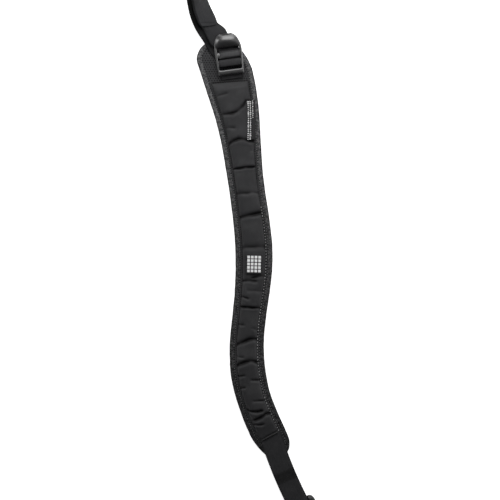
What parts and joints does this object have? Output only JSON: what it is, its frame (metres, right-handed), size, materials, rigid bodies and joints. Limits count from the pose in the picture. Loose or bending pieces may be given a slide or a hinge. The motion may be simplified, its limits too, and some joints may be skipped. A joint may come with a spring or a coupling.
{
  "type": "camera sling strap",
  "caption": "Camera sling strap: a long S-curved padded shoulder pad with bound edge, ladder-lock adjuster and a loop of one-inch webbing sewn to a plain buckle.",
  "frame": {"origin": "under the middle of the shoulder pad, on the face that rests on the shoulder", "axes": "+Y up the pad towards the ladder lock, +Z out of the pad, away from the shoulder, +X to the right seen from the front, where the loop of webbing runs"},
  "size_m": [0.388, 0.7413, 0.0255],
  "materials": {
    "pad_cloth": "matte knitted backing",
    "edge_binding": "ribbed binding tape",
    "panel_nylon": "smooth coated nylon",
    "webbing": "close woven",
    "lock_plastic": "polished",
    "buckle_plastic": "satin",
    "label_cloth": "woven tag",
    "badge_rubber": "moulded, with a pale plain motif"
  },
  "bodies": {
    "root": {"pad_base": "pad_cloth", "edge_binding": "edge_binding", "centre_panel": "panel_nylon", "anchor_webbing": "webbing", "ladder_lock": "lock_plastic", "sling_webbing": "webbing", "lower_webbing": "webbing", "lower_buckle": "buckle_plastic", "side_label": "label_cloth", "badge_patch": "badge_rubber"}
  },
  "joints": []
}
